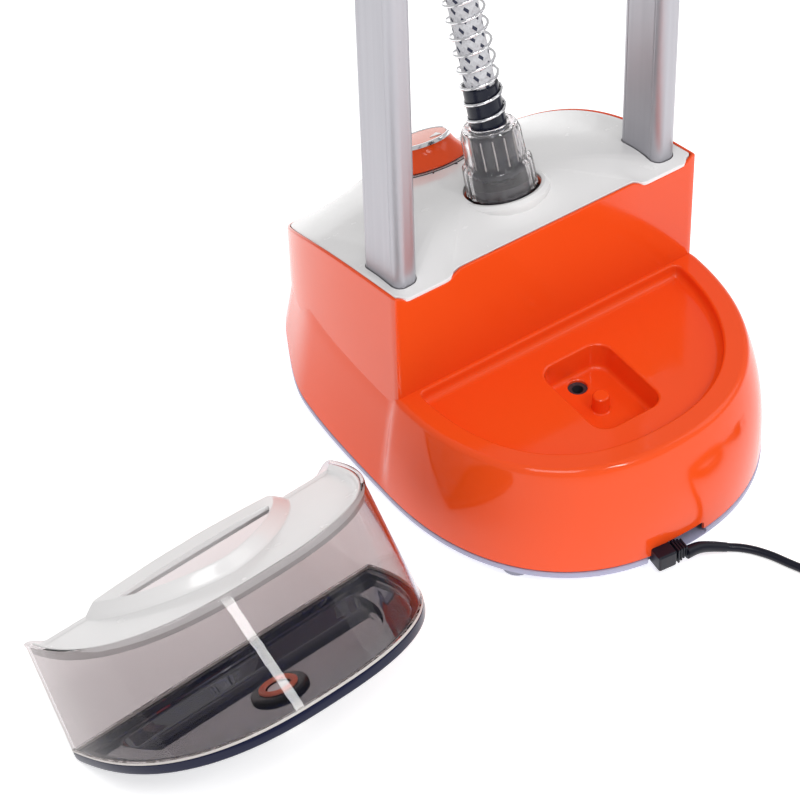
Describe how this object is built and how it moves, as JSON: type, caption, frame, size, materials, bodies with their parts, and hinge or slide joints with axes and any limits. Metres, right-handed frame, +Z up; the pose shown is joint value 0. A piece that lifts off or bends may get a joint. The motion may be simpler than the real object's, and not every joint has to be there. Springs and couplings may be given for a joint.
{
  "type": "standing garment and wallpaper steamer",
  "caption": "Standing steamer with a lift-off water tank stood beside its base, twin telescopic poles, braided hose, steam head on a cradle, folding hanger arms and a mains cord.",
  "frame": {"origin": "on the floor under the middle of the whole set's box, measured without the mains cord, the hose and what is on them", "axes": "+Z up, -Y towards the tank seat at the front of the base, +X to the right seen from the front"},
  "size_m": [0.6353, 0.5214, 1.4125],
  "materials": {
    "orange_plastic": "glossy moulded ABS",
    "pale_orange": "glossy moulded disc",
    "white_plastic": "semi-gloss moulded ABS",
    "base_plastic": "satin moulded plastic",
    "rubber_grey": "soft moulded foot",
    "steel": "brushed",
    "dark_plastic": "fine texture",
    "pole_aluminium": "satin anodised",
    "orange_rubber": "soft silicone",
    "black_rubber": "matt",
    "navy_plastic": "glossy moulded",
    "cast_metal": "as cast",
    "red_silicone": "soft silicone",
    "pale_silicone": "translucent silicone",
    "cord_pvc": "smooth sheath",
    "chrome_metal": "polished",
    "hose_braid": "woven braid with dark flecks",
    "clear_plastic": "clear moulded",
    "grey_seal": "soft seal",
    "smoke_plastic": "smoky clear moulded"
  },
  "bodies": {
    "base": {"base_plate": "base_plastic", "base_feet": "rubber_grey", "base_screws": "steel", "body_shell": "orange_plastic", "tank_seat": "orange_plastic", "sump_cup": "orange_plastic", "top_cover": "white_plastic", "pole_sockets": "dark_plastic", "outer_pole_left": "pole_aluminium", "outer_pole_right": "pole_aluminium", "pole_collar_left": "dark_plastic", "pole_collar_right": "dark_plastic", "hose_seal_ring": "orange_rubber", "steam_outlet": "dark_plastic", "outlet_o_ring": "black_rubber", "hose_end_fitting": "navy_plastic", "boiler_body": "cast_metal", "boiler_gasket": "red_silicone", "boiler_lid": "cast_metal", "boiler_screws": "steel", "heater_element": "steel", "thermostat": "dark_plastic", "thermal_fuse": "white_plastic", "inlet_fitting": "dark_plastic", "inlet_tube": "pale_silicone", "steam_pipe": "pale_silicone", "rotary_switch": "dark_plastic", "terminal_block": "white_plastic", "cord_bushing": "black_rubber", "cord_clamp": "dark_plastic", "mains_cord": "cord_pvc", "mains_coil": "cord_pvc", "mains_plug": "black_rubber", "plug_pins": "chrome_metal", "steam_hose": "hose_braid", "hose_spring": "chrome_metal"},
    "knob": {"knob_skirt": "orange_plastic", "knob_cap": "pale_orange", "knob_ring": "chrome_metal"},
    "collar": {"hose_nut": "clear_plastic"},
    "lever_left": {"lock_lever_left": "orange_plastic"},
    "lever_right": {"lock_lever_right": "orange_plastic"},
    "upper": {"inner_pole_left": "pole_aluminium", "inner_pole_right": "pole_aluminium", "top_bar": "white_plastic", "head_cradle": "dark_plastic"},
    "arm_left": {"hanger_arm_left": "white_plastic"},
    "arm_right": {"hanger_arm_right": "white_plastic"},
    "head": {"head_plate": "steel", "head_shell": "orange_plastic", "head_back": "white_plastic", "head_handle": "white_plastic"},
    "tank": {"tank_tray": "navy_plastic", "tray_seal": "grey_seal", "tank_shell": "smoke_plastic", "tank_lid": "white_plastic"},
    "cap": {"valve_cap": "navy_plastic", "valve_gasket": "orange_rubber", "valve_spring": "steel"},
    "stem": {"valve_stem": "white_plastic"}
  },
  "joints": [
    {"name": "telescope", "type": "slide", "parent": "base", "child": "upper", "axis": [0, 0, 1], "range_m": [-0.48, 0], "deforming": ["steam_hose"]},
    {"name": "knob_turn", "type": "hinge", "parent": "base", "child": "knob", "pos_m": [0.113, 0.1188, 0.1476], "axis": [0, 0.5, 0.866], "range_deg": [0, 270]},
    {"name": "collar_turn", "type": "hinge", "parent": "base", "child": "collar", "pos_m": [0.113, 0.0302, 0.1845], "axis": [0, 0.3256, 0.9455], "range_deg": [0, 90]},
    {"name": "lever_left_flip", "type": "hinge", "parent": "base", "child": "lever_left", "pos_m": [-0.012, 0.0085, 0.71], "axis": [0, 1, 0], "range_deg": [0, 100]},
    {"name": "lever_right_flip", "type": "hinge", "parent": "base", "child": "lever_right", "pos_m": [0.238, 0.0085, 0.71], "axis": [0, -1, 0], "range_deg": [0, 100]},
    {"name": "arm_left_fold", "type": "hinge", "parent": "upper", "child": "arm_left", "pos_m": [0.013, 0.0085, 1.337], "axis": [0, 1, 0], "range_deg": [0, 95]},
    {"name": "arm_right_fold", "type": "hinge", "parent": "upper", "child": "arm_right", "pos_m": [0.213, 0.0085, 1.337], "axis": [0, -1, 0], "range_deg": [0, 95]},
    {"name": "head_lift", "type": "slide", "parent": "upper", "child": "head", "axis": [0, 0, 1], "range_m": [0, 0.045]},
    {"name": "tank_lift", "type": "slide", "parent": "base", "child": "tank", "axis": [0, 0, 1], "range_m": [0, 0.3]},
    {"name": "cap_turn", "type": "hinge", "parent": "tank", "child": "cap", "pos_m": [-0.18542, -0.13286, 0.03096], "axis": [-0.0442, 0.5056, 0.8616], "range_deg": [0, 60]},
    {"name": "valve_push", "type": "slide", "parent": "cap", "child": "stem", "axis": [-0.0442, 0.5056, 0.8616], "range_m": [0, 0.005], "stiffness_N_per_m": 200, "springref_m": -0.005, "deforming": ["valve_spring"]}
  ]
}
